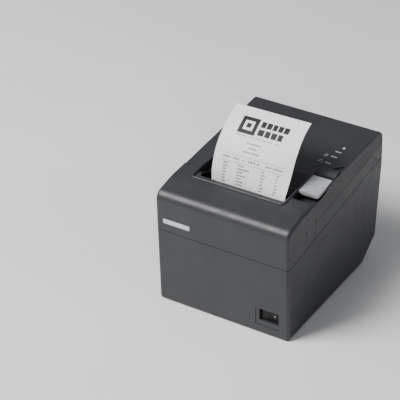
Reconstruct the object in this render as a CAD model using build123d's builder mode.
"""Receipt printer with a drop-in paper roll, a hinged roll cover and a sliding cutter cover.

Millimetres, +Z up, +X to the right seen from the front, front at -Y. The origin is at the middle of
the printer's base, level with the soles of its feet.
"""

import os
from math import acos, asin, atan2, cos, degrees, hypot, pi, radians, sin, tan

from build123d import *

# ------------------------------------------------------------------ driving dimensions: the case
BODY_W = 145.0
BODY_D = 186.5
BASE_Z = 0.6  # underside of the case, above the feet's soles
WALL = 2.4
SIDE_R = 3.2  # rounding of the long side edges
TOP_FRONT_Z = 125.65  # the top plane, carried forward to the front face
TOP_SLOPE = 0.0538
NOSE_Z = 121.8  # where the front face and the crowned front of the top would meet
NOSE_R = 10.0
CROWN_Y = -64.0
CROWN_R = 60.0
REAR_R = 5.5
REAR_KNEE = (95.5, 100.0)
REAR_HEEL = (84.6, 19.5)
REAR_TOE = (57.5, BASE_Z)
SEAM_FRONT_Z = 81.6  # parting line between the lower case and what stands on it
SEAM_SLOPE = 0.137
SEAM_GAP = 0.6
COVER_SEAM_Z = 112.8  # parting line under the roll cover, at COVER_SEAM_Y
COVER_SEAM_Y = 16.5
COVER_SEAM_SLOPE = 0.122
COVER_GAP = 0.4
SPLIT_Y = -40.0  # between the front cover and the roll cover
RIDGE_X = 70.4  # the roll cover's sides lean in to this at the top
FRONT_Y = -91.0
REAR_Y = FRONT_Y + BODY_D
MID_Y = (FRONT_Y + REAR_Y) / 2  # finished pieces move forward by this, so that the origin is mid-depth
SIDE_X = BODY_W / 2
FAR = 200.0

# ------------------------------------------------------------------ roll cover hinge and paper slot
HINGE_Y = 87.7
HINGE_Z = 115.0
TAB_R = 7.8
TAB_FRONT = (81.5, 110.2)
TAB_SHOULDER_Y = 70.8
HINGE_PIN_R = 2.0
RUNNING = 0.05  # radial clearance of every turning fit
WELL_X = (-52.0, 46.0)  # the sunken well around the paper slot
WELL_FRONT = (-47.5, 127.7)
WELL_LOW = (-30.0, 119.4)
WELL_REAR = (-4.0, 130.33)
WELL_FLOOR = 2.3
SLOT_X = (-48.0, 44.6)
SLOT_Y = (-50.6, -31.0)
SLOT_R = 3.0

# ------------------------------------------------------------------ paper and print mechanism
PAPER_CX = 2.0  # middle of the paper, right of the case's middle
PAPER_HALF_W = 39.75
PAPER_T = 0.2
PAPER_Y = -45.3
ROLL_Y = 30.0
ROLL_Z = 62.0
ROLL_R = 39.5
CORE_R = 8.5
CORE_BORE_R = 6.4
PLATEN_Y = -38.3
PLATEN_Z = 110.5
PLATEN_R = 6.5
PLATEN_SHAFT_R = 3.0
PLATEN_HALF_W = 41.0
BUSH_R = 4.2
PLATE_X = 45.8  # inner faces of the frame's side plates, from the paper's middle
PLATE_T = 1.2
FRAME_FOOT_Z = 66.0
DECK_Z = 96.6  # top of the mechanism frame's floor
GEAR_M = 0.6
PLATEN_TEETH = 24
IDLER_TEETH = 40
MOTOR_TEETH = 12
MESH_EASE = 0.05  # extra distance between meshed centres
BACKLASH = 0.14
MOTOR_ANGLE = 216.2  # from the idler to the feed motor, degrees about +X
MOTOR_R = 12.5

# ------------------------------------------------------------------ cutter
CUT_X = PAPER_CX - 30.0
CUT_Y = -65.0
PINION_M = 0.8
PINION_TEETH = 16
WHEEL_M = 0.5
WHEEL_TEETH = 48
DRIVE_TEETH = 10
BLADE_Z = 118.7
BLADE_T = 0.8

# ------------------------------------------------------------------ lever, button and lamps
LEVER_Y = -8.0
LEVER_Z = 123.2
LEVER_SHAFT_R = 2.0
POCKET_X = (48.2, 69.8)
POCKET_Y = (-37.8, 0.8)
POCKET_Z = 119.5
LATCH_Z = 101.0
LATCH_R = 1.5
BUTTON_X = (48.0, 69.0)
BUTTON_Y = (3.0, 12.8)
LAMPS = [(42.8, 22.4), (43.1, 33.1), (53.0, 50.4)]
LAMP_R = 1.2

# ------------------------------------------------------------------ power switch, base and connectors
SWITCH_X = (40.5, 62.0)
SWITCH_Z = (15.0, 28.5)
ROCKER_SWING = 7.0  # degrees either side of level
FLOOR_TOP = BASE_Z + WALL
FOOT_R = 6.5
FOOT_SPOTS = [(-60.0, -78.0), (60.0, -78.0), (-60.0, 46.0), (60.0, 46.0)]
SCREW_SPOTS = [(-62.0, -58.0), (62.0, -58.0), (-62.0, 28.0), (62.0, 28.0)]
BRACKET_DX = 90.0
BRACKET_DY = 80.0
BRACKET_HOLE_R = 1.5
BOARD_Z = 8.0
BOARD_T = 1.6
RECESS_Y = 64.4
RECESS_TOP = 27.0
RECESS_HALF_W = 57.0
JACKS = {"power_jack": -41.0, "drawer_jack": -15.0, "network_port": 11.0, "usb_port": 36.0}


def top_z(y):
    """Height of the sloping top at depth y."""
    return TOP_FRONT_Z + TOP_SLOPE * (y - FRONT_Y)


def seam_z(y):
    """Height of the parting line over the lower case at depth y."""
    return SEAM_FRONT_Z + SEAM_SLOPE * (y - FRONT_Y)


def cover_seam_z(y):
    """Height of the parting line under the roll cover at depth y."""
    return COVER_SEAM_Z + COVER_SEAM_SLOPE * (y - COVER_SEAM_Y)


TOP_PLANE = Plane(
    origin=(0, 0, top_z(0)), x_dir=(1, 0, 0), z_dir=(0, -TOP_SLOPE, 1)
)


def prism(points, x_low, x_high):
    """A solid with a straight-sided YZ outline, from x_low to x_high."""
    with BuildPart() as body:
        with BuildSketch(Plane.YZ.offset(x_low)):
            with BuildLine():
                Polyline(*points, close=True)
            make_face()
        extrude(amount=x_high - x_low)
    return body.part


def block(x_span, y_span, z_span):
    """A rectangular solid between the given limits."""
    with BuildPart() as body:
        with BuildSketch(Plane.XY.offset(z_span[0])):
            with Locations(((x_span[0] + x_span[1]) / 2, (y_span[0] + y_span[1]) / 2)):
                Rectangle(x_span[1] - x_span[0], y_span[1] - y_span[0])
        extrude(amount=z_span[1] - z_span[0])
    return body.part


def rod(y, z, radius, x_low, x_high):
    """A round bar along X."""
    with BuildPart() as body:
        with BuildSketch(Plane.YZ.offset(x_low)):
            with Locations((y, z)):
                Circle(radius)
        extrude(amount=x_high - x_low)
    return body.part


# ------------------------------------------------------------------ the outer form
def body_block(inset):
    """The printer's outer form, drawn in by inset on every side."""
    outline = [
        (FRONT_Y, BASE_Z),
        (FRONT_Y, NOSE_Z),
        (CROWN_Y, top_z(CROWN_Y)),
        (REAR_Y, top_z(REAR_Y)),
        REAR_KNEE,
        REAR_HEEL,
        REAR_TOE,
    ]
    half_w = SIDE_X - inset
    with BuildPart() as body:
        with BuildSketch(Plane.YZ):
            with BuildLine():
                FilletPolyline(*outline, radius=[1.5, NOSE_R, CROWN_R, REAR_R, 20, 4, 4], close=True)
            make_face()
            if inset:
                offset(amount=-inset)
        extrude(amount=half_w, both=True)
        ends = body.edges().filter_by(lambda edge: abs(abs(edge.center().X) - half_w) < 0.001)
        fillet(ends, radius=SIDE_R - inset)
    return body.part


def lean_cut(inset):
    """What the leaning sides of the roll cover lose, on both sides."""
    low_front = Vector(SIDE_X - inset, SPLIT_Y, cover_seam_z(SPLIT_Y))
    low_rear = Vector(SIDE_X - inset, TAB_SHOULDER_Y, cover_seam_z(TAB_SHOULDER_Y))
    ridge = Vector(RIDGE_X - inset, 10.0, top_z(10.0))
    along = (low_rear - low_front).normalized()
    outward = along.cross(ridge - low_front).normalized()
    if outward.X < 0:
        outward = outward * -1
    with BuildPart() as body:
        with BuildSketch(Plane(origin=low_front, x_dir=along, z_dir=outward)):
            Rectangle(2 * FAR, 2 * FAR)
        extrude(amount=20)
        mirror(about=Plane.YZ)
    return body.part


def region_below_seam():
    low = SEAM_GAP / 2
    points = [
        (-FAR, -FAR),
        (-FAR, seam_z(-FAR) - low),
        (FAR, seam_z(FAR) - low),
        (FAR, -FAR),
    ]
    return prism(points, -FAR, FAR)


def region_front():
    """Everything over the case seam and ahead of the split."""
    edge = SPLIT_Y - COVER_GAP / 2
    points = [
        (-FAR, seam_z(-FAR) + SEAM_GAP / 2),
        (edge, seam_z(edge) + SEAM_GAP / 2),
        (edge, FAR),
        (-FAR, FAR),
    ]
    return prism(points, -FAR, FAR)


def region_roll_cover(gap):
    """The roll cover's side view, grown by gap; its round tab is centred on the hinge."""
    front = SPLIT_Y + COVER_GAP / 2 - gap
    points = [
        (front, cover_seam_z(front) - gap),
        (TAB_SHOULDER_Y, cover_seam_z(TAB_SHOULDER_Y) - gap),
        (TAB_FRONT[0] - gap, TAB_FRONT[1] - gap / 2),
        (HINGE_Y, HINGE_Z),
        (FAR, HINGE_Z),
        (FAR, FAR),
        (front, FAR),
    ]
    with BuildPart() as body:
        with BuildSketch(Plane.YZ):
            with BuildLine():
                Polyline(*points, close=True)
            make_face()
            with Locations((HINGE_Y, HINGE_Z)):
                Circle(TAB_R + gap)
        extrude(amount=FAR, both=True)
    return body.part


def region_side_bands():
    """The stretch of side wall between the case seam and the roll cover, ahead of the hinge."""
    front = SPLIT_Y + COVER_GAP / 2
    rear = HINGE_Y - 2.2
    points = [
        (front, seam_z(front) + SEAM_GAP / 2),
        (rear, seam_z(rear) + SEAM_GAP / 2),
        (rear, FAR),
        (front, FAR),
    ]
    return prism(points, -FAR, FAR)


OUTER = body_block(0)
INNER = body_block(WALL)

# ------------------------------------------------------------------ the well round the paper slot
WELL_TOP = [(WELL_REAR[0], FAR), (WELL_FRONT[0], FAR)]
WELL_SPACE = prism([WELL_FRONT, WELL_LOW, WELL_REAR, *WELL_TOP], *WELL_X)
WELL_BODY = prism(
    [
        (WELL_FRONT[0] - 3, WELL_FRONT[1] - WELL_FLOOR + 1.4),
        (WELL_LOW[0], WELL_LOW[1] - WELL_FLOOR),
        (WELL_REAR[0] + 3, WELL_REAR[1] - WELL_FLOOR + 1.2),
        (WELL_REAR[0] + 3, FAR),
        (WELL_FRONT[0] - 3, FAR),
    ],
    WELL_X[0] - 2,
    WELL_X[1] + 1,
)


def slot_hole():
    """The paper slot, straight down through both covers."""
    with BuildPart() as body:
        with BuildSketch(Plane.XY.offset(WELL_LOW[1] - 6)):
            with Locations(((SLOT_X[0] + SLOT_X[1]) / 2, (SLOT_Y[0] + SLOT_Y[1]) / 2)):
                RectangleRounded(SLOT_X[1] - SLOT_X[0], SLOT_Y[1] - SLOT_Y[0], SLOT_R)
        extrude(amount=FAR)
    return body.part


SLOT_HOLE = slot_hole()
WELL_SOLID = WELL_BODY & OUTER


def finish(builder, name):
    """Label a finished piece and write its STEP file."""
    placed = builder.part.moved(Location((0, -MID_Y, 0)))
    placed.label = name
    export_step(placed, f"parts/{name}.step")


os.makedirs("parts", exist_ok=True)

# ================================================================== the case
below_seam = region_below_seam()
recess_walls = block((-RECESS_HALF_W - WALL, RECESS_HALF_W + WALL), (RECESS_Y - 2, 100), (BASE_Z, 29.4))
recess = block((-RECESS_HALF_W, RECESS_HALF_W), (RECESS_Y, 100), (-1, RECESS_TOP))
plate_window = block((-RECESS_HALF_W + 1, RECESS_HALF_W - 1), (RECESS_Y - 3, RECESS_Y), (6.6, 26))
switch_hole = block(SWITCH_X, (FRONT_Y - 1, FRONT_Y + 4), SWITCH_Z)
switch_dish = block((SWITCH_X[0] - 4, SWITCH_X[1]), (FRONT_Y - 1, FRONT_Y + 0.5), (9.0, SWITCH_Z[1]))
with BuildPart() as lower_case:
    add(OUTER)
    add(INNER, mode=Mode.SUBTRACT)
    add(recess_walls & OUTER)
    add(recess, mode=Mode.SUBTRACT)
    add(plate_window, mode=Mode.SUBTRACT)
    add(switch_dish, mode=Mode.SUBTRACT)
    add(switch_hole, mode=Mode.SUBTRACT)
    add(below_seam, mode=Mode.INTERSECT)
    with BuildSketch(Plane.XY.offset(FLOOR_TOP)):
        with Locations(*SCREW_SPOTS):
            Circle(4)
        with GridLocations(100, 72, 2, 2):
            Circle(2.5)
    extrude(amount=BOARD_Z - FLOOR_TOP)
    with BuildSketch(Plane.XY.offset(FLOOR_TOP)):
        with GridLocations(BRACKET_DX, BRACKET_DY, 2, 2):
            Circle(3.5)
    extrude(amount=3)
    with BuildSketch(Plane.XY.offset(FLOOR_TOP)):
        with Locations((PAPER_CX - PLATE_X - PLATE_T / 2, -60), (PAPER_CX + PLATE_X + PLATE_T / 2, -60)):
            Rectangle(4, 24)
    extrude(amount=FRAME_FOOT_Z - 1.2 - FLOOR_TOP)
    with BuildSketch(Plane.XY.offset(BASE_Z)):
        with Locations(*FOOT_SPOTS):
            Circle(FOOT_R)
    extrude(amount=0.8, mode=Mode.SUBTRACT)
    with BuildSketch(Plane.XY.offset(BASE_Z)):
        with GridLocations(BRACKET_DX, BRACKET_DY, 2, 2):
            Circle(BRACKET_HOLE_R)
    extrude(amount=4.6, mode=Mode.SUBTRACT)
    with BuildSketch(Plane.XY.offset(BASE_Z)):
        with Locations(*SCREW_SPOTS):
            Circle(3)
    extrude(amount=1.2, mode=Mode.SUBTRACT)
    with BuildSketch(Plane.XY.offset(BASE_Z)):
        with Locations(*SCREW_SPOTS):
            Circle(1.5)
    extrude(amount=7, mode=Mode.SUBTRACT)
finish(lower_case, "lower_case")

with BuildPart() as rubber_feet:
    with BuildSketch(Plane.XY):
        with Locations(*FOOT_SPOTS):
            Circle(FOOT_R - 0.1)
    extrude(amount=BASE_Z + 0.8)
    fillet(rubber_feet.edges().group_by(Axis.Z)[0], radius=0.4)
finish(rubber_feet, "rubber_feet")

with BuildPart() as case_screws:
    with BuildSketch(Plane.XY.offset(BASE_Z + 0.1)):
        with Locations(*SCREW_SPOTS):
            Circle(2.7)
    extrude(amount=1.1)
    with BuildSketch(Plane.XY.offset(BASE_Z + 1.2)):
        with Locations(*SCREW_SPOTS):
            Circle(1.5)
    extrude(amount=5)
    with BuildSketch(Plane.XY.offset(BASE_Z + 0.1)):
        with Locations(*SCREW_SPOTS):
            Rectangle(3.4, 0.7)
            Rectangle(0.7, 3.4)
    extrude(amount=0.6, mode=Mode.SUBTRACT)
finish(case_screws, "case_screws")

# The upper case is two side bands on a sloping deck, with the brackets of the roll cover's hinge.
deck_low = 0.6
deck_rear = 82.5
BRACKET_Y = deck_rear - 4.6
deck = prism(
    [
        (SPLIT_Y + 0.2, seam_z(SPLIT_Y) + deck_low),
        (deck_rear, seam_z(deck_rear) + deck_low),
        (deck_rear, seam_z(deck_rear) + deck_low + 2),
        (SPLIT_Y + 0.2, seam_z(SPLIT_Y) + deck_low + 2),
    ],
    -SIDE_X + WALL - 0.2,
    SIDE_X - WALL + 0.2,
)
side_bands = region_side_bands()
under_cover = region_roll_cover(COVER_GAP)
deck_mouth = block((PAPER_CX - 47.6, PAPER_CX + 47.6), (SPLIT_Y - 1, 75.2), (80, 120))
gear_window = block((PAPER_CX - 55, PAPER_CX - 47), (SPLIT_Y - 1, -23), (80, 120))


def hinge_brackets():
    """Two plates that rise from the deck to the hinge axis, inside the roll cover."""
    with BuildPart() as body:
        with BuildSketch(Plane.YZ.offset(61.8)):
            with Locations((HINGE_Y, HINGE_Z)):
                Circle(3.4)
            with Locations((BRACKET_Y, seam_z(BRACKET_Y) + deck_low + 1)):
                Rectangle(6, 1.6)
            make_hull()
            with Locations((HINGE_Y, HINGE_Z)):
                Circle(HINGE_PIN_R, mode=Mode.SUBTRACT)
        extrude(amount=3)
        mirror(about=Plane.YZ)
    return body.part


brackets = hinge_brackets()
with BuildPart() as upper_case:
    add(OUTER)
    add(INNER, mode=Mode.SUBTRACT)
    add(deck)
    add(side_bands, mode=Mode.INTERSECT)
    add(under_cover, mode=Mode.SUBTRACT)
    add(deck_mouth, mode=Mode.SUBTRACT)
    add(gear_window, mode=Mode.SUBTRACT)
    add(brackets)
finish(upper_case, "upper_case")

with BuildPart() as hinge_pins:
    with BuildSketch(Plane.YZ.offset(61.4)):
        with Locations((HINGE_Y, HINGE_Z)):
            Circle(HINGE_PIN_R)
    extrude(amount=7.6)
    mirror(about=Plane.YZ)
finish(hinge_pins, "hinge_pins")

# ------------------------------------------------------------------ front cover and its blank badge
BADGE_X = (-64.5, -35.0)
BADGE_Z = (90.4, 95.6)
front_region = region_front()
badge_seat = block(BADGE_X, (FRONT_Y - 1, FRONT_Y + 0.8), BADGE_Z)
LIP_Y = -57.0
LIP_STEP = 1.1
with BuildPart() as lip_step:
    with BuildSketch(TOP_PLANE.offset(-LIP_STEP)):
        with Locations(((WELL_X[0] + WELL_X[1]) / 2, LIP_Y / 2)):
            RectangleRounded(WELL_X[1] - WELL_X[0], -LIP_Y, 2)
    extrude(amount=10)
BEAD_R = 1.2
BEAD_REAR_Y = -29.5
with BuildPart() as slot_bead:
    with BuildLine(TOP_PLANE) as bead_path:
        FilletPolyline(
            (WELL_X[0] - BEAD_R, BEAD_REAR_Y),
            (WELL_X[0] - BEAD_R, LIP_Y),
            (WELL_X[1] + BEAD_R, LIP_Y),
            (WELL_X[1] + BEAD_R, BEAD_REAR_Y),
            radius=3.5,
        )
    with BuildSketch(Plane(origin=bead_path.line @ 0, z_dir=bead_path.line % 0)):
        Circle(BEAD_R)
    sweep()
front_bead = slot_bead.part & front_region
cover_bead = slot_bead.part & region_roll_cover(0)
# A finger recess in front of the lever crosses the parting line of the two covers.
FINGER_X = (POCKET_X[0] + 0.4, POCKET_X[1] - 0.6)
FINGER_Y = -43.4
FINGER_Z = 121.0
finger_walls = block((FINGER_X[0] - 1.8, SIDE_X), (FINGER_Y - 2, SPLIT_Y), (FINGER_Z - 2, FAR)) & OUTER
with BuildPart() as finger_recess:
    with BuildSketch(Plane.XY.offset(FINGER_Z)):
        with Locations(((FINGER_X[0] + FINGER_X[1]) / 2, (FINGER_Y + POCKET_Y[0] + 4) / 2)):
            RectangleRounded(FINGER_X[1] - FINGER_X[0], POCKET_Y[0] + 4 - FINGER_Y, 2.6)
    extrude(amount=FAR)
with BuildPart() as front_cover:
    add(OUTER)
    add(INNER, mode=Mode.SUBTRACT)
    add(WELL_SOLID)
    add(finger_walls)
    add(front_region, mode=Mode.INTERSECT)
    add(lip_step.part, mode=Mode.SUBTRACT)
    add(front_bead)
    add(finger_recess.part, mode=Mode.SUBTRACT)
    add(WELL_SPACE, mode=Mode.SUBTRACT)
    add(SLOT_HOLE, mode=Mode.SUBTRACT)
    add(badge_seat, mode=Mode.SUBTRACT)
    with BuildSketch(Plane.YZ.offset(SIDE_X)):
        with Locations((-57.6, 105.1)):
            SlotOverall(3.2, 1.2, rotation=60)
        with Locations((-81.9, 99.7)):
            Circle(0.7)
    extrude(amount=-0.5, mode=Mode.SUBTRACT)
finish(front_cover, "front_cover")

with BuildPart() as badge:
    with BuildSketch(Plane.XZ.offset(-FRONT_Y - 0.8)):
        with Locations(((BADGE_X[0] + BADGE_X[1]) / 2, (BADGE_Z[0] + BADGE_Z[1]) / 2)):
            RectangleRounded(BADGE_X[1] - BADGE_X[0], BADGE_Z[1] - BADGE_Z[0], 1)
    extrude(amount=0.75)
finish(badge, "badge")

# ================================================================== roll cover
pocket_walls = block((POCKET_X[0] - 1.6, SIDE_X), (POCKET_Y[0] - 2, POCKET_Y[1] + 2), (POCKET_Z - 2.2, FAR))
pocket = block(POCKET_X, POCKET_Y, (POCKET_Z, FAR))
hook_slot = block((48.6, 53.4), (-24.0, -0.5), (POCKET_Z - 4, POCKET_Z + 1))
lean = lean_cut(0)
lean_inside = lean_cut(WALL)
cover_shape = OUTER - lean
cover_inside = INNER - lean_inside
pocket_solid = pocket_walls & cover_shape
cover_region = region_roll_cover(0)
# The top of the right side wall sweeps up past the lever in an S.
with BuildPart() as shoulder_sweep:
    with BuildSketch(Plane.YZ.offset(POCKET_X[1] - 0.5)):
        with BuildLine():
            Spline((-42, 123.4), (-30, 124.2), (-16, 126.8), (-6, 129.9), (3, 131.3))
            Polyline((3, 131.3), (3, FAR), (-42, FAR), (-42, 123.4))
        make_face()
    extrude(amount=10)
side_slit = block((RIDGE_X - 1, SIDE_X + 1), (SPLIT_Y, SPLIT_Y + 1.1), (105, 122.5))
with BuildPart() as corner_notch:
    with BuildSketch(TOP_PLANE.offset(1)):
        with BuildLine():
            FilletPolyline((58, 14.0), (69.4, 14.0), (68.4, 25.5), radius=[0.6, 0.6, 1.5], close=True)
        make_face()
    extrude(amount=-2.6)
button_hole_x = (BUTTON_X[0] - 0.4, BUTTON_X[1] + 0.4)
button_hole_y = (BUTTON_Y[0] - 0.4, BUTTON_Y[1] + 0.4)
button_hole = block(button_hole_x, button_hole_y, (110, FAR))
barrel_wall = rod(HINGE_Y, HINGE_Z, TAB_R, -SIDE_X + WALL - 0.2, SIDE_X - WALL + 0.2)
barrel_bore = rod(HINGE_Y, HINGE_Z, TAB_R - WALL, -SIDE_X + WALL, SIDE_X - WALL)
below_hinge = block((-FAR, FAR), (0, FAR), (0, HINGE_Z))
barrel = (barrel_wall - barrel_bore) & below_hinge
knuckle_cuts = [block((x - 2.8, x + 2.8), (74, 100), (100, HINGE_Z + 3)) for x in (-63.3, 63.3)]
EDGE_RIM = 1.2
rim_height = 0.8
rim_drop = (WELL_FRONT[1] - WELL_LOW[1]) / (WELL_LOW[0] - WELL_FRONT[0])
rim_front_z = WELL_LOW[1] + rim_drop * (WELL_LOW[0] - SPLIT_Y - 0.2)
rim_outline = [
    (SPLIT_Y + 0.2, rim_front_z - 1),
    (WELL_LOW[0] + 0.4, WELL_LOW[1] - 1),
    (WELL_LOW[0] + 0.4, WELL_LOW[1] + rim_height),
    (SPLIT_Y + 0.2, rim_front_z + rim_height),
]
rim_block = prism(rim_outline, SLOT_X[0] - EDGE_RIM, SLOT_X[1] + EDGE_RIM)
slot_rim = rim_block - SLOT_HOLE
with BuildPart() as roll_cover:
    add(cover_shape)
    add(cover_inside, mode=Mode.SUBTRACT)
    add(WELL_SOLID)
    add(pocket_solid)
    add(cover_region, mode=Mode.INTERSECT)
    add(barrel)
    add(WELL_SPACE, mode=Mode.SUBTRACT)
    add(pocket, mode=Mode.SUBTRACT)
    add(shoulder_sweep.part, mode=Mode.SUBTRACT)
    add(SLOT_HOLE, mode=Mode.SUBTRACT)
    add(slot_rim)
    add(cover_bead)
    add(finger_recess.part, mode=Mode.SUBTRACT)
    add(side_slit, mode=Mode.SUBTRACT)
    add(corner_notch.part, mode=Mode.SUBTRACT)
    add(hook_slot, mode=Mode.SUBTRACT)
    add(button_hole, mode=Mode.SUBTRACT)
    add(knuckle_cuts, mode=Mode.SUBTRACT)
    with BuildSketch(Plane.YZ.offset(66.4)):
        with Locations((HINGE_Y, HINGE_Z)):
            Circle(TAB_R - WALL + 0.2)
    extrude(amount=3.9)
    with BuildSketch(Plane.YZ.offset(-70.3)):
        with Locations((HINGE_Y, HINGE_Z)):
            Circle(TAB_R - WALL + 0.2)
    extrude(amount=3.9)
    with BuildSketch(Plane.YZ.offset(-69.4)):
        with Locations((HINGE_Y, HINGE_Z)):
            Circle(HINGE_PIN_R + RUNNING)
    extrude(amount=138.8, mode=Mode.SUBTRACT)
    with BuildSketch(Plane.YZ.offset(-50)):
        with Locations((LEVER_Y, LEVER_Z)):
            Circle(LEVER_SHAFT_R + 0.3)
    extrude(amount=100, mode=Mode.SUBTRACT)
    with BuildSketch(TOP_PLANE.offset(1)):
        with Locations(*LAMPS):
            Circle(LAMP_R + 0.05)
    extrude(amount=-6, mode=Mode.SUBTRACT)
finish(roll_cover, "roll_cover")

# ------------------------------------------------------------------ inside the roll cover
arm_outline = [
    (PLATEN_Y - 5.0, PLATEN_Z - 5.5),
    (PLATEN_Y - 5.0, 117.6),
    (-34.2, 117.6),
    (-31.2, 116.8),
    (-29.8, 116.7),
    (-5.0, 126.4),
    (-3.4, 119.0),
    (-22.0, PLATEN_Z - 5.5),
]
arm_offset = PLATEN_HALF_W + 1.2
ARM_T = 1.6
with BuildPart() as cover_inner:
    for x in (PAPER_CX - arm_offset - ARM_T, PAPER_CX + arm_offset):
        with BuildSketch(Plane.YZ.offset(x)):
            with BuildLine():
                FilletPolyline(*arm_outline, radius=[3, 0.6, 0.6, 0.6, 0.6, 1.5, 3, 4], close=True)
            make_face()
            with Locations((PLATEN_Y, PLATEN_Z)):
                Circle(BUSH_R, mode=Mode.SUBTRACT)
            with Locations((LEVER_Y, LEVER_Z)):
                Circle(LEVER_SHAFT_R + RUNNING, mode=Mode.SUBTRACT)
        extrude(amount=ARM_T)
    with BuildSketch(Plane.YZ.offset(PAPER_CX - arm_offset)):
        with BuildLine():
            FilletPolyline(
                (-30.6, 106.0),
                (-30.6, 116.4),
                (-18.6, 121.0),
                (-18.6, 119.4),
                (-29.0, 115.3),
                (-29.0, 106.0),
                radius=[0.5, 1.8, 0.5, 0.5, 0.5, 0.5],
                close=True,
            )
        make_face()
    extrude(amount=2 * arm_offset)
finish(cover_inner, "cover_inner")

with BuildPart() as platen_bushes:
    for x in (PAPER_CX - PLATE_X - PLATE_T - 0.6, PAPER_CX + PLATEN_HALF_W + 0.6):
        with BuildSketch(Plane.YZ.offset(x)):
            with Locations((PLATEN_Y, PLATEN_Z)):
                Circle(BUSH_R)
                Circle(PLATEN_SHAFT_R + RUNNING, mode=Mode.SUBTRACT)
        extrude(amount=PLATE_X + PLATE_T - PLATEN_HALF_W)
finish(platen_bushes, "platen_bushes")

with BuildPart() as fixed_blade:
    with BuildSketch(Plane.XY.offset(117.6)):
        with Locations((PAPER_CX, -40.0)):
            Rectangle(2 * arm_offset + 2 * ARM_T, 8.6)
        with Locations((PAPER_CX - 30, -37.6), (PAPER_CX + 30, -37.6)):
            Circle(1.2, mode=Mode.SUBTRACT)
    extrude(amount=0.8)
    chamfer(fixed_blade.edges().group_by(Axis.Y)[0].group_by(Axis.Z)[0], length=0.5, length2=1.5)
finish(fixed_blade, "fixed_blade")

# ------------------------------------------------------------------ cover lever, its shaft and hooks
LEVER_X = 48.6
lever_right = ((69.4, -30.0), (68.8, -1.6))
lever_section = [
    (-30.0, 126.6),
    (-30.0, top_z(-30) + 0.4),
    (-1.6, top_z(-1.6) + 0.4),
    (-1.6, 127.6),
    (-12.0, 126.9),
]
with BuildPart() as lever_plan:
    with BuildSketch(Plane.XY.offset(110)):
        with BuildLine():
            Polyline((LEVER_X + 0.2, -30.0), *lever_right, (LEVER_X, -1.6), close=True)
        make_face()
    extrude(amount=40)
lever_form = prism(lever_section, LEVER_X - 1, SIDE_X)
lever_lip = prism([(-29.2, 124.9), (-29.2, 127.2), (-26.6, 127.2), (-26.6, 124.9)], LEVER_X + 2.2, 67.4)
lever_ribs = [
    prism([(LEVER_Y - 3.2, LEVER_Z), (-26, 127), (-3, 127.8), (LEVER_Y + 3.2, LEVER_Z)], x, x + 1.8)
    for x in (54.2, 60.0, 65.8)
]
with BuildPart() as open_lever:
    add(lever_form & lever_plan.part)
    fillet(open_lever.edges().group_by(Axis.Z)[-1], radius=0.5)
    add(lever_lip)
    add(lever_ribs)
    with BuildSketch(Plane.YZ.offset(54.2)):
        with Locations((LEVER_Y, LEVER_Z)):
            Circle(3.2)
    extrude(amount=13.4)
    with BuildSketch(Plane.YZ.offset(54.2)):
        with Locations((LEVER_Y, LEVER_Z)):
            Circle(LEVER_SHAFT_R)
    extrude(amount=13.4, mode=Mode.SUBTRACT)
    with BuildSketch(TOP_PLANE.offset(2)):
        with Locations((59.5, -16.0)):
            Circle(2.0)
            Circle(1.3, mode=Mode.SUBTRACT)
    extrude(amount=-1.85, mode=Mode.SUBTRACT)
finish(open_lever, "open_lever")

with BuildPart() as lever_shaft:
    with BuildSketch(Plane.YZ.offset(PAPER_CX - 50.6)):
        with Locations((LEVER_Y, LEVER_Z)):
            Circle(LEVER_SHAFT_R)
    extrude(amount=67.6 - PAPER_CX + 50.6)
finish(lever_shaft, "lever_shaft")

hook_outline = [
    (LEVER_Y - 3.4, LEVER_Z + 1.4),
    (LEVER_Y + 3.4, LEVER_Z + 1.4),
    (LEVER_Y + 3.0, LEVER_Z - 4.0),
    (LEVER_Y - 2.4, LATCH_Z + 4.0),
    (LEVER_Y - 2.4, LATCH_Z - LATCH_R - 0.3),
    (LEVER_Y + 1.8, LATCH_Z - LATCH_R - 0.3),
    (LEVER_Y + 1.0, LATCH_Z - LATCH_R - 2.8),
    (LEVER_Y - 6.0, LATCH_Z - LATCH_R - 2.8),
]
with BuildPart() as latch_hooks:
    for x in (PAPER_CX - PLATE_X - PLATE_T - 3.2, PAPER_CX + PLATE_X + PLATE_T + 1.0):
        with BuildSketch(Plane.YZ.offset(x)):
            with BuildLine():
                FilletPolyline(*hook_outline, radius=[2.5, 2.5, 3, 2, 0.2, 0.6, 1, 2], close=True)
            make_face()
            with Locations((LEVER_Y, LEVER_Z)):
                Circle(LEVER_SHAFT_R, mode=Mode.SUBTRACT)
        extrude(amount=2.2)
finish(latch_hooks, "latch_hooks")

# ------------------------------------------------------------------ feed button, lamps and their board
button_mid = ((BUTTON_X[0] + BUTTON_X[1]) / 2, (BUTTON_Y[0] + BUTTON_Y[1]) / 2)
panel_low = WALL + 5.0
with BuildPart() as feed_button:
    with BuildSketch(TOP_PLANE.offset(-2.0)):
        with Locations(button_mid):
            Rectangle(BUTTON_X[1] - BUTTON_X[0], BUTTON_Y[1] - BUTTON_Y[0])
    extrude(amount=3.8)
    chamfer(feed_button.faces().sort_by(Axis.Z)[-1].edges().sort_by(Axis.Y)[0], length=1.7, length2=4.6)
    fillet(feed_button.edges().filter_by(Axis.X).group_by(Axis.Z)[-1], radius=0.4)
    with BuildSketch(TOP_PLANE.offset(-2.0)):
        with Locations(button_mid):
            Rectangle(4, 4)
    extrude(amount=-(panel_low - BOARD_T - 2.0 - 1.6))
finish(feed_button, "feed_button")

with BuildPart() as panel_board:
    with BuildSketch(TOP_PLANE.offset(-panel_low)):
        with Locations((54.5, 31.0)):
            Rectangle(27, 54)
    extrude(amount=BOARD_T)
    with BuildSketch(TOP_PLANE.offset(-panel_low + BOARD_T)):
        with Locations((58.5, BUTTON_Y[0] + 4.9)):
            Rectangle(6, 6)
    extrude(amount=0.1)
finish(panel_board, "panel_board")

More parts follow.
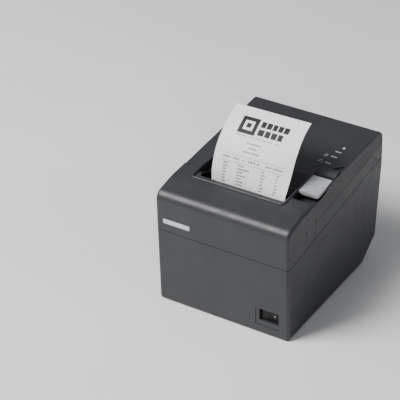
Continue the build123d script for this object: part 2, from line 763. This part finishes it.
with BuildPart() as status_lamps:
    with BuildSketch(TOP_PLANE.offset(-panel_low + BOARD_T)):
        with Locations(*LAMPS):
            Circle(LAMP_R)
    extrude(amount=panel_low - BOARD_T + 0.15)
finish(status_lamps, "status_lamps")

# ================================================================== gears
PRESSURE = radians(20)


def gear_outline(teeth, module, first_tooth):
    """Corner points of a spur gear's teeth, one tooth centred on the angle first_tooth (degrees)."""
    pitch_r = teeth * module / 2
    base_r = pitch_r * cos(PRESSURE)
    half_tooth = pi / (2 * teeth) - BACKLASH / (2 * pitch_r) + tan(PRESSURE) - PRESSURE
    radii = [pitch_r - 1.2 * module, pitch_r - 0.5 * module, pitch_r, pitch_r + 0.85 * module]
    flank = []
    for radius in radii:
        roll = acos(min(1, base_r / radius))
        flank.append((radius, half_tooth - (tan(roll) - roll)))
    points = []
    for tooth in range(teeth):
        middle = radians(first_tooth) + 2 * pi * tooth / teeth
        side = [(radius, middle - angle) for radius, angle in flank]
        side += [(radius, middle + angle) for radius, angle in reversed(flank)]
        points += [(radius * cos(angle), radius * sin(angle)) for radius, angle in side]
    return points


def gear(plane, teeth, module, first_tooth, width):
    """A spur gear blank with its teeth, without a bore, centred on the plane's origin."""
    with BuildPart() as body:
        with BuildSketch(plane):
            with BuildLine():
                Polyline(*gear_outline(teeth, module, first_tooth), close=True)
            make_face()
        extrude(amount=width)
    return body.part


def across(x, y, z):
    """A plane at the given point, facing +X, with its own x along +Y."""
    return Plane(origin=(x, y, z), x_dir=(0, 1, 0), z_dir=(1, 0, 0))


def level(x, y, z):
    """A plane at the given point, facing up."""
    return Plane(origin=(x, y, z), x_dir=(1, 0, 0), z_dir=(0, 0, 1))


def meshed_tooth(angle, driver_teeth, driver_tooth, teeth):
    """The tooth angle that puts a gap of the next gear on its neighbour's tooth, along angle."""
    pitch = 360 / driver_teeth
    ahead = (driver_tooth - angle + pitch / 2) % pitch - pitch / 2
    return angle + 180 - ahead * driver_teeth / teeth + 180 / teeth


# ================================================================== feed train, on the left
IDLER_R = IDLER_TEETH * GEAR_M / 2
IDLER_Y = PLATEN_Y
IDLER_Z = PLATEN_Z - PLATEN_TEETH * GEAR_M / 2 - IDLER_R - MESH_EASE
motor_reach = IDLER_R + MOTOR_TEETH * GEAR_M / 2 + MESH_EASE
MOTOR_Y = IDLER_Y + motor_reach * cos(radians(MOTOR_ANGLE))
MOTOR_Z = IDLER_Z + motor_reach * sin(radians(MOTOR_ANGLE))
GEAR_X = PAPER_CX - PLATE_X - PLATE_T - 1.2 - 3.6
GEAR_W = 3.6
idler_tooth = meshed_tooth(270, PLATEN_TEETH, 270, IDLER_TEETH)
motor_tooth = meshed_tooth(MOTOR_ANGLE, IDLER_TEETH, idler_tooth, MOTOR_TEETH)

with BuildPart() as platen_gear:
    add(gear(across(GEAR_X, PLATEN_Y, PLATEN_Z), PLATEN_TEETH, GEAR_M, 270, GEAR_W))
    with BuildSketch(across(GEAR_X, PLATEN_Y, PLATEN_Z)):
        Circle(PLATEN_SHAFT_R)
    extrude(amount=GEAR_W, mode=Mode.SUBTRACT)
finish(platen_gear, "platen_gear")

with BuildPart() as idler_gear:
    add(gear(across(GEAR_X, IDLER_Y, IDLER_Z), IDLER_TEETH, GEAR_M, idler_tooth, GEAR_W))
    with BuildSketch(across(GEAR_X, IDLER_Y, IDLER_Z)):
        Circle(9.4)
        Circle(4.2, mode=Mode.SUBTRACT)
    extrude(amount=1.0, mode=Mode.SUBTRACT)
    with BuildSketch(across(GEAR_X, IDLER_Y, IDLER_Z)):
        Circle(2 + RUNNING)
    extrude(amount=GEAR_W, mode=Mode.SUBTRACT)
finish(idler_gear, "idler_gear")

with BuildPart() as idler_pin:
    with BuildSketch(across(GEAR_X - 1.4, IDLER_Y, IDLER_Z)):
        Circle(2)
    extrude(amount=GEAR_W + 1.4 + 1.2 + PLATE_T)
    with BuildSketch(across(GEAR_X - 1.4, IDLER_Y, IDLER_Z)):
        Circle(3)
    extrude(amount=1.0)
finish(idler_pin, "idler_pin")

with BuildPart() as feed_pinion:
    add(gear(across(GEAR_X, MOTOR_Y, MOTOR_Z), MOTOR_TEETH, GEAR_M, motor_tooth, GEAR_W))
    with BuildSketch(across(GEAR_X, MOTOR_Y, MOTOR_Z)):
        Circle(1 + RUNNING)
    extrude(amount=GEAR_W, mode=Mode.SUBTRACT)
finish(feed_pinion, "feed_pinion")

plate_left = PAPER_CX - PLATE_X - PLATE_T
with BuildPart() as feed_motor:
    with BuildSketch(across(plate_left + PLATE_T, MOTOR_Y, MOTOR_Z)):
        Circle(MOTOR_R)
    extrude(amount=14)
    with BuildSketch(across(plate_left + PLATE_T, MOTOR_Y, MOTOR_Z)):
        Circle(MOTOR_R - 0.7)
    extrude(amount=15)
    with BuildSketch(across(GEAR_X - 1, MOTOR_Y, MOTOR_Z)):
        Circle(1)
    extrude(amount=plate_left + PLATE_T - GEAR_X + 1)
finish(feed_motor, "feed_motor")

with BuildPart() as platen_shaft:
    with BuildSketch(across(GEAR_X - 0.6, PLATEN_Y, PLATEN_Z)):
        Circle(PLATEN_SHAFT_R)
    extrude(amount=PAPER_CX + PLATE_X + PLATE_T + 1.4 - GEAR_X + 0.6)
    chamfer(platen_shaft.edges().filter_by(GeomType.CIRCLE), length=0.4)
finish(platen_shaft, "platen_shaft")

with BuildPart() as platen_rubber:
    with BuildSketch(across(PAPER_CX - PLATEN_HALF_W, PLATEN_Y, PLATEN_Z)):
        Circle(PLATEN_R)
        Circle(PLATEN_SHAFT_R, mode=Mode.SUBTRACT)
    extrude(amount=2 * PLATEN_HALF_W)
finish(platen_rubber, "platen_rubber")

# ================================================================== mechanism frame and print head
HEAD_Y = PAPER_Y - PAPER_T - 0.2
SINK_Y = (HEAD_Y - 5.6, HEAD_Y - 1.0)
side_outline = [
    (-80.0, FRAME_FOOT_Z),
    (-38.0, FRAME_FOOT_Z),
    (-3.0, 90.0),
    (-3.0, 106.0),
    (-17.0, 106.0),
    (-27.0, 114.0),
    (-50.0, 117.2),
    (-80.0, 117.2),
]
notch = [
    (PLATEN_Y - BUSH_R - 0.4, PLATEN_Z),
    (PLATEN_Y + BUSH_R + 0.4, PLATEN_Z),
    (PLATEN_Y + BUSH_R + 1.4, 130),
    (PLATEN_Y - BUSH_R - 1.0, 130),
]
with BuildPart() as mechanism_frame:
    for x in (plate_left, PAPER_CX + PLATE_X):
        with BuildSketch(Plane.YZ.offset(x)):
            with BuildLine():
                FilletPolyline(*side_outline, radius=[2, 6, 6, 2, 4, 3, 3, 4], close=True)
            make_face()
            with BuildLine():
                Polyline(*notch, close=True)
            make_face(mode=Mode.SUBTRACT)
            with Locations((PLATEN_Y, PLATEN_Z)):
                Circle(BUSH_R + 0.4, mode=Mode.SUBTRACT)
        extrude(amount=PLATE_T)
    with BuildSketch(Plane.XY.offset(DECK_Z - PLATE_T)):
        with Locations((PAPER_CX, (-80 + SINK_Y[1]) / 2)):
            Rectangle(2 * PLATE_X, SINK_Y[1] + 80)
    extrude(amount=PLATE_T)
    with BuildSketch(Plane.XY.offset(DECK_Z)):
        with Locations((17.5, -61.4)):
            Rectangle(40, PLATE_T)
    extrude(amount=11.0)
    with BuildSketch(Plane.XY.offset(FRAME_FOOT_Z)):
        with Locations((PAPER_CX - PLATE_X + 3.4, -60), (PAPER_CX + PLATE_X - 3.4, -60)):
            Rectangle(9.2, 24)
        with Locations((PAPER_CX - PLATE_X + 4.5, -60), (PAPER_CX + PLATE_X - 4.5, -60)):
            Circle(1.6, mode=Mode.SUBTRACT)
    extrude(amount=-PLATE_T)
    with BuildSketch(across(plate_left, IDLER_Y, IDLER_Z)):
        Circle(2)
    extrude(amount=PLATE_T, mode=Mode.SUBTRACT)
    with BuildSketch(across(plate_left, MOTOR_Y, MOTOR_Z)):
        Circle(1.5)
    extrude(amount=PLATE_T, mode=Mode.SUBTRACT)
finish(mechanism_frame, "mechanism_frame")

with BuildPart() as latch_pins:
    with BuildSketch(Plane.YZ.offset(PAPER_CX - PLATE_X - PLATE_T - 4.2)):
        with Locations((LEVER_Y, LATCH_Z)):
            Circle(LATCH_R)
    extrude(amount=4.2)
    with BuildSketch(Plane.YZ.offset(PAPER_CX + PLATE_X + PLATE_T)):
        with Locations((LEVER_Y, LATCH_Z)):
            Circle(LATCH_R)
    extrude(amount=4.2)
finish(latch_pins, "latch_pins")

with BuildPart() as thermal_head:
    with BuildSketch(Plane.YZ.offset(PAPER_CX - 40)):
        with BuildLine():
            FilletPolyline(
                (SINK_Y[1], 103.5),
                (SINK_Y[1], 113.2),
                (HEAD_Y, 113.2),
                (HEAD_Y, 107.5),
                (HEAD_Y - 0.4, 103.5),
                radius=[0.1, 0.1, 0.3, 2, 0.1],
                close=True,
            )
        make_face()
    extrude(amount=80)
finish(thermal_head, "thermal_head")

with BuildPart() as head_heatsink:
    with BuildSketch(Plane.XY.offset(DECK_Z)):
        with Locations((PAPER_CX, (SINK_Y[0] + SINK_Y[1]) / 2)):
            Rectangle(80, SINK_Y[1] - SINK_Y[0])
    extrude(amount=113.2 - DECK_Z)
    with BuildSketch(Plane.XY.offset(DECK_Z + 12.4)):
        with Locations((PAPER_CX, SINK_Y[0])):
            with GridLocations(6.4, 1, 12, 1):
                Rectangle(3, 3.6)
    extrude(amount=10, mode=Mode.SUBTRACT)
finish(head_heatsink, "head_heatsink")


CABLE_Y = HEAD_Y - 0.8
with BuildPart() as head_cable:
    with BuildSketch(Plane.YZ.offset(10)):
        with BuildLine():
            FilletPolyline(
                (CABLE_Y, 103.5),
                (CABLE_Y, 62),
                (-42, 30),
                (-37.2, 19),
                (-37.0, 13.7),
                radius=[12, 12, 4],
            )
            offset(amount=0.3, side=Side.LEFT)
        make_face()
    extrude(amount=20)
finish(head_cable, "head_cable")


def coil_spring(x, y_low, length, radius, wire):
    """A compression spring along Y, as a row of closed rings joined by a thin core bar."""
    rings = int(length // (wire * 3))
    pitch = (length - 2 * wire) / (rings - 1)
    with BuildPart() as body:
        for number in range(rings):
            with BuildSketch(Plane.YZ.offset(x)):
                with Locations((y_low + wire + number * pitch, 104 + radius)):
                    Circle(wire)
            revolve(axis=Axis((x, 0, 104), (0, 1, 0)))
        with BuildSketch(Plane.XZ.offset(-y_low)):
            with Locations((x, 104 + radius)):
                Circle(wire * 0.6)
        extrude(amount=-length)
    return body.part


spring_room = SINK_Y[0] - (-61.4 + PLATE_T / 2)
springs = [coil_spring(x, -61.4 + PLATE_T / 2, spring_room, 2.6, 0.35) for x in (4.0, 32.0)]
with BuildPart() as head_springs:
    add(springs)
finish(head_springs, "head_springs")

# ================================================================== cutter
rack_pitch = pi * PINION_M
pinion_r = PINION_M * PINION_TEETH / 2
wheel_r = WHEEL_M * WHEEL_TEETH / 2
drive_x = CUT_X + wheel_r + WHEEL_M * DRIVE_TEETH / 2 + MESH_EASE
rack_x = CUT_X + pinion_r + MESH_EASE
RACK_Y = (-78.0, -56.0)
RACK_Z = 114.0


def rack_outline():
    """The rack's plan: a straight back and teeth that face -X, a gap level with the pinion's axis."""
    half = rack_pitch / 4 - BACKLASH / 2
    root_x = rack_x + 1.2 * PINION_M
    tip_x = rack_x - 0.85 * PINION_M
    root_half = half + 1.2 * PINION_M * tan(PRESSURE)
    tip_half = half - 0.85 * PINION_M * tan(PRESSURE)
    points = [(root_x + 3, RACK_Y[0]), (root_x, RACK_Y[0])]
    first = int((RACK_Y[0] - CUT_Y) / rack_pitch) + 1
    last = int((RACK_Y[1] - CUT_Y) / rack_pitch) - 1
    for number in range(first, last + 1):
        middle = CUT_Y + (number + 0.5) * rack_pitch
        points += [(root_x, middle - root_half), (tip_x, middle - tip_half)]
        points += [(tip_x, middle + tip_half), (root_x, middle + root_half)]
    return points + [(root_x, RACK_Y[1]), (root_x + 3, RACK_Y[1])]


with BuildPart() as cutter_blade:
    with BuildSketch(Plane.XY.offset(BLADE_Z)):
        with BuildLine():
            Polyline(
                (PAPER_CX - 41.5, -77.0),
                (PAPER_CX + 41.5, -77.0),
                (PAPER_CX + 41.5, -48.6),
                (PAPER_CX, -50.4),
                (PAPER_CX - 41.5, -48.6),
                close=True,
            )
        make_face()
        with Locations((PAPER_CX + 12, -64)):
            SlotOverall(34, 9, mode=Mode.SUBTRACT)
    extrude(amount=BLADE_T)
    with BuildSketch(Plane.XY.offset(RACK_Z)):
        with BuildLine():
            Polyline(*rack_outline(), close=True)
        make_face()
    extrude(amount=BLADE_Z - RACK_Z)
finish(cutter_blade, "cutter_blade")

with BuildPart() as cutter_frame:
    with BuildSketch(Plane.XY.offset(117.2)):
        with Locations((PAPER_CX, -65.5)):
            Rectangle(2 * (PLATE_X + PLATE_T), 31)
        with Locations((PAPER_CX, -61.0)):
            Rectangle(76, 34, mode=Mode.SUBTRACT)
    extrude(amount=1.2)
finish(cutter_frame, "cutter_frame")

AXLE_R = 1.5
with BuildPart() as cutter_axle:
    with BuildSketch(level(CUT_X, CUT_Y, DECK_Z)):
        Circle(AXLE_R)
    extrude(amount=22.0)
finish(cutter_axle, "cutter_axle")

with BuildPart() as cutter_gear:
    add(gear(level(CUT_X, CUT_Y, 113.2), PINION_TEETH, PINION_M, 0, 4.9))
    add(gear(level(CUT_X, CUT_Y, 110.2), WHEEL_TEETH, WHEEL_M, 0, 2.6))
    with BuildSketch(level(CUT_X, CUT_Y, 108)):
        Circle(3.2)
    extrude(amount=5.4)
    with BuildSketch(level(CUT_X, CUT_Y, DECK_Z + 0.6)):
        Circle(7.5)
        with PolarLocations(7.5, 24):
            Circle(0.45, mode=Mode.SUBTRACT)
    extrude(amount=9.6)
    with BuildSketch(level(CUT_X, CUT_Y, DECK_Z)):
        Circle(3.2)
    extrude(amount=13.6)
    with BuildSketch(level(CUT_X, CUT_Y, DECK_Z)):
        Circle(AXLE_R + RUNNING)
    extrude(amount=22, mode=Mode.SUBTRACT)
finish(cutter_gear, "cutter_gear")

with BuildPart() as cutter_motor:
    with BuildSketch(level(drive_x, CUT_Y, DECK_Z)):
        Circle(6)
    extrude(amount=12)
    with BuildSketch(level(drive_x, CUT_Y, DECK_Z + 12)):
        Circle(0.75)
    extrude(amount=4.4)
    fillet(cutter_motor.edges().filter_by(GeomType.CIRCLE).sort_by(Axis.Z)[0:1], radius=0.6)
finish(cutter_motor, "cutter_motor")

with BuildPart() as cutter_pinion:
    add(gear(level(drive_x, CUT_Y, 110.2), DRIVE_TEETH, WHEEL_M, 180 + 180 / DRIVE_TEETH, 2.6))
    with BuildSketch(level(drive_x, CUT_Y, 110.2)):
        Circle(0.75 + RUNNING)
    extrude(amount=2.6, mode=Mode.SUBTRACT)
finish(cutter_pinion, "cutter_pinion")

# ================================================================== paper
web_nip = (PAPER_Y, 103.0)
to_roll = (ROLL_Y - web_nip[0], ROLL_Z - web_nip[1])
roll_far = hypot(*to_roll)
web_angle = atan2(to_roll[1], to_roll[0]) - asin((ROLL_R + 0.5) / roll_far)
web_length = (roll_far**2 - ROLL_R**2) ** 0.5
web_end = (web_nip[0] + web_length * cos(web_angle), web_nip[1] + web_length * sin(web_angle))

with BuildPart() as paper_web:
    with BuildSketch(Plane.YZ.offset(PAPER_CX - PAPER_HALF_W)):
        with BuildLine():
            FilletPolyline((PAPER_Y, 118.2), web_nip, web_end, radius=8)
            offset(amount=PAPER_T, side=Side.LEFT)
        make_face()
    extrude(amount=2 * PAPER_HALF_W)
finish(paper_web, "paper_web")

receipt_points = [
    (PAPER_Y, 120.0),
    (-44.6, 127.5),
    (-40.8, 134.5),
    (-34.5, 146.5),
    (-26.5, 158.5),
    (-17.5, 168.0),
    (-7.0, 176.0),
    (4.0, 181.8),
]
receipt_curve = Spline(*receipt_points, tangents=[(0, 1), (1, 0.4)])
receipt_back = []
receipt_face = []
for step in range(11):
    on_curve = receipt_curve @ (step / 10)
    normal = (receipt_curve % (step / 10)).rotate(Axis.Z, 90)
    receipt_back.append(on_curve - normal * PAPER_T / 2)
    receipt_face.append(on_curve + normal * PAPER_T / 2)
with BuildPart() as receipt_paper:
    with BuildSketch(Plane.YZ.offset(PAPER_CX - PAPER_HALF_W)):
        with BuildLine():
            Spline(*receipt_back)
            Spline(*receipt_face)
            Line(receipt_back[0], receipt_face[0])
            Line(receipt_back[-1], receipt_face[-1])
        make_face()
    extrude(amount=2 * PAPER_HALF_W)
finish(receipt_paper, "receipt_paper")

with BuildPart() as paper_roll:
    with BuildSketch(across(PAPER_CX - PAPER_HALF_W, ROLL_Y, ROLL_Z)):
        Circle(ROLL_R)
        Circle(CORE_R, mode=Mode.SUBTRACT)
    extrude(amount=2 * PAPER_HALF_W)
finish(paper_roll, "paper_roll")

with BuildPart() as roll_core:
    with BuildSketch(across(PAPER_CX - PAPER_HALF_W, ROLL_Y, ROLL_Z)):
        Circle(CORE_R)
        Circle(CORE_BORE_R, mode=Mode.SUBTRACT)
    extrude(amount=2 * PAPER_HALF_W)
finish(roll_core, "roll_core")

# The tray is a bucket under the roll; its front wall runs beside the paper on its way to the head.
TRAY_R = ROLL_R + 1.8
TRAY_WALL = 1.6
TRAY_HALF_W = PAPER_HALF_W + 2.2
tray_foot = (ROLL_Y + TRAY_R * sin(web_angle), ROLL_Z - TRAY_R * cos(web_angle))
tray_lip_z = 84.0
tray_lip = (tray_foot[0] + (tray_lip_z - tray_foot[1]) / tan(web_angle), tray_lip_z)
tray_rear = ROLL_Y + TRAY_R


def tray_space(grow, half_w):
    """The space in the tray, or its outer form when grown by the wall."""
    with BuildPart() as body:
        with BuildSketch(Plane.YZ):
            with BuildLine():
                ThreePointArc(
                    tray_foot,
                    (ROLL_Y, ROLL_Z - TRAY_R),
                    (tray_rear, ROLL_Z),
                )
                Polyline((tray_rear, ROLL_Z), (tray_rear, FAR), (tray_lip[0], FAR), tray_lip, tray_foot)
            make_face()
            if grow:
                offset(amount=grow)
        extrude(amount=half_w, both=True)
    return body.part.moved(Location((PAPER_CX, 0, 0)))


tray_outside = tray_space(TRAY_WALL, TRAY_HALF_W + TRAY_WALL)
tray_inside = tray_space(0, TRAY_HALF_W)
tray_top = prism(
    [
        (-FAR, tray_lip_z),
        (tray_lip[0], tray_lip_z),
        (0, seam_z(0) + deck_low + 2),
        (FAR, seam_z(FAR) + deck_low + 2),
        (FAR, -FAR),
        (-FAR, -FAR),
    ],
    -FAR,
    FAR,
)
flange_plan = block(
    (PAPER_CX - 50.4, PAPER_CX + 50.4), (2, tray_rear + 4.4), (80, 120)
)
flange_layer = prism(
    [
        (0, seam_z(0) + deck_low + 2),
        (90, seam_z(90) + deck_low + 2),
        (90, seam_z(90) + deck_low + 3.2),
        (0, seam_z(0) + deck_low + 3.2),
    ],
    -FAR,
    FAR,
)
tray_flange = flange_plan & flange_layer
with BuildPart() as paper_tray:
    add(tray_outside)
    add(tray_top, mode=Mode.INTERSECT)
    add(tray_flange)
    add(tray_inside, mode=Mode.SUBTRACT)
finish(paper_tray, "paper_tray")

SENSOR_Z = 34.0
with BuildPart() as near_end_sensor:
    with BuildSketch(Plane.YZ.offset(PAPER_CX - TRAY_HALF_W - TRAY_WALL)):
        with Locations((ROLL_Y, SENSOR_Z)):
            RectangleRounded(14, 10, 1.5)
    extrude(amount=-7)
    with BuildSketch(Plane.YZ.offset(PAPER_CX - TRAY_HALF_W - TRAY_WALL - 7)):
        with Locations((ROLL_Y, SENSOR_Z)):
            Rectangle(8, 5)
    extrude(amount=-3)
    with BuildSketch(Plane.YZ.offset(PAPER_CX - TRAY_HALF_W - TRAY_WALL - 10)):
        with Locations((ROLL_Y, SENSOR_Z)):
            Rectangle(6.4, 3.4)
    extrude(amount=2.4, mode=Mode.SUBTRACT)
finish(near_end_sensor, "near_end_sensor")

# ================================================================== main board and connectors
JACK_FACE_Y = RECESS_Y + 1.0
BOARD_TOP = BOARD_Z + BOARD_T
JACK_BOX = {  # width, height, depth
    "power_jack": (14.0, 13.0, 14.0),
    "drawer_jack": (15.2, 13.6, 16.0),
    "network_port": (16.0, 13.6, 16.0),
    "usb_port": (12.0, 11.0, 16.0),
}

with BuildPart() as main_board:
    with BuildSketch(Plane.XY.offset(BOARD_Z)):
        with Locations((0, 11)):
            Rectangle(114, 101)
        with Locations((-SCREW_SPOTS[0][0] * 0.8, 28), (SCREW_SPOTS[0][0] * 0.8, 28)):
            Circle(1.6, mode=Mode.SUBTRACT)
    extrude(amount=BOARD_T)
finish(main_board, "main_board")

with BuildPart() as board_parts:
    with BuildSketch(Plane.XY.offset(BOARD_TOP)):
        with Locations((-51, -14), (-51, 0), (51, -10), (51, 6)):
            Circle(5)
    extrude(amount=21)
    fillet(board_parts.edges().group_by(Axis.Z)[-1], radius=0.8)
    with BuildSketch(Plane.XY.offset(BOARD_TOP)):
        with Locations((20, -22)):
            Rectangle(20, 20)
        with Locations((-8, -24)):
            Rectangle(14, 9)
        with Locations((-28, -24), (-28, -12)):
            Rectangle(8, 6)
        with Locations((0, 28), (24, 32)):
            Rectangle(10, 8)
    extrude(amount=1.8)
    with BuildSketch(Plane.XY.offset(BOARD_TOP)):
        with Locations((20, -36.6)):
            Rectangle(25, 4.4)
    extrude(amount=4)
finish(board_parts, "board_parts")

jack_mid_z = {name: BOARD_TOP + size[1] / 2 for name, size in JACK_BOX.items()}
JACK_EASE = 0.3
with BuildPart() as connector_plate:
    with BuildSketch(Plane.XZ.offset(-RECESS_Y)):
        with Locations((0, (BOARD_Z - 1.3 + RECESS_TOP - 1.1) / 2)):
            Rectangle(2 * RECESS_HALF_W - 2.2, RECESS_TOP - 1.1 - BOARD_Z + 1.3)
        for name, size in JACK_BOX.items():
            with Locations((JACKS[name], jack_mid_z[name])):
                Rectangle(size[0] + 2 * JACK_EASE, size[1] + 2 * JACK_EASE, mode=Mode.SUBTRACT)
        with Locations((-54.0, 16), (54.0, 16)):
            Circle(0.9, mode=Mode.SUBTRACT)
    extrude(amount=1.4)
finish(connector_plate, "connector_plate")


def jack_face(name):
    """The plane of a connector's face, centred on it, facing out at the rear."""
    return Plane(origin=(JACKS[name], JACK_FACE_Y, jack_mid_z[name]), x_dir=(-1, 0, 0), z_dir=(0, 1, 0))


def jack_box(name):
    """A connector's plain housing, standing on the board."""
    size = JACK_BOX[name]
    with BuildPart() as body:
        with BuildSketch(jack_face(name)):
            Rectangle(size[0], size[1])
        extrude(amount=-size[2])
    return body.part


with BuildPart() as power_jack:
    add(jack_box("power_jack"))
    with BuildSketch(jack_face("power_jack")):
        Circle(5)
    extrude(amount=-10, mode=Mode.SUBTRACT)
    with BuildSketch(jack_face("power_jack").offset(-10)):
        Circle(1.6)
        with PolarLocations(3.2, 3):
            Circle(0.5)
    extrude(amount=8)
finish(power_jack, "power_jack")

with BuildPart() as drawer_jack:
    add(jack_box("drawer_jack"))
    with BuildSketch(jack_face("drawer_jack")):
        with Locations((0, 0.6)):
            Rectangle(10.2, 8)
        with Locations((0, -4.2)):
            Rectangle(3.4, 2.4)
    extrude(amount=-11.5, mode=Mode.SUBTRACT)
finish(drawer_jack, "drawer_jack")

with BuildPart() as network_port:
    add(jack_box("network_port"))
    with BuildSketch(jack_face("network_port")):
        with Locations((0, 0.8)):
            Rectangle(11.8, 8)
        with Locations((0, -4.2)):
            Rectangle(4.2, 2.8)
    extrude(amount=-13, mode=Mode.SUBTRACT)
finish(network_port, "network_port")

with BuildPart() as usb_port:
    add(jack_box("usb_port"))
    with BuildSketch(jack_face("usb_port")):
        Rectangle(8.6, 7.8)
    extrude(amount=-10, mode=Mode.SUBTRACT)
    with BuildSketch(jack_face("usb_port").offset(-10)):
        Rectangle(5.6, 3.2)
    extrude(amount=8.6)
finish(usb_port, "usb_port")

# ================================================================== power switch, in the front wall
ROCKER_X = (SWITCH_X[0] + SWITCH_X[1]) / 2
ROCKER_Z = (SWITCH_Z[0] + SWITCH_Z[1]) / 2
ROCKER_Y = FRONT_Y + 6.5
ROCKER_HALF_W = 9.2
ROCKER_HALF_H = 5.3
with BuildPart() as switch_body:
    with BuildSketch(Plane.XZ.offset(-FRONT_Y - WALL)):
        with Locations((ROCKER_X, ROCKER_Z)):
            Rectangle(SWITCH_X[1] - SWITCH_X[0], SWITCH_Z[1] - SWITCH_Z[0])
    extrude(amount=-15.5)
    with BuildSketch(Plane.XZ.offset(-FRONT_Y - WALL)):
        with Locations((ROCKER_X, ROCKER_Z)):
            Rectangle(2 * ROCKER_HALF_W + 0.8, 2 * ROCKER_HALF_H + 0.6)
    extrude(amount=-11, mode=Mode.SUBTRACT)
    with BuildSketch(Plane.XY.offset(SWITCH_Z[0])):
        with Locations((ROCKER_X, ROCKER_Y)):
            Circle(1.2)
    extrude(amount=SWITCH_Z[1] - SWITCH_Z[0])
finish(switch_body, "switch_body")

with BuildPart() as power_rocker:
    with BuildSketch(Plane.XY.offset(ROCKER_Z - ROCKER_HALF_H)):
        with BuildLine():
            FilletPolyline(
                (-ROCKER_HALF_W, -1.2),
                (-ROCKER_HALF_W + 0.6, -3.3),
                (0, -2.2),
                (ROCKER_HALF_W - 0.6, -3.3),
                (ROCKER_HALF_W, -1.2),
                (3.6, 3.6),
                (-3.6, 3.6),
                radius=[0.6, 0.6, 6, 0.6, 0.6, 1.4, 1.4],
                close=True,
            )
        make_face()
        Circle(1.2 + RUNNING, mode=Mode.SUBTRACT)
    extrude(amount=2 * ROCKER_HALF_H)
power_rocker.part = power_rocker.part.rotate(Axis.Z, ROCKER_SWING)
power_rocker.part = power_rocker.part.moved(Location((ROCKER_X, ROCKER_Y, 0)))
finish(power_rocker, "power_rocker")
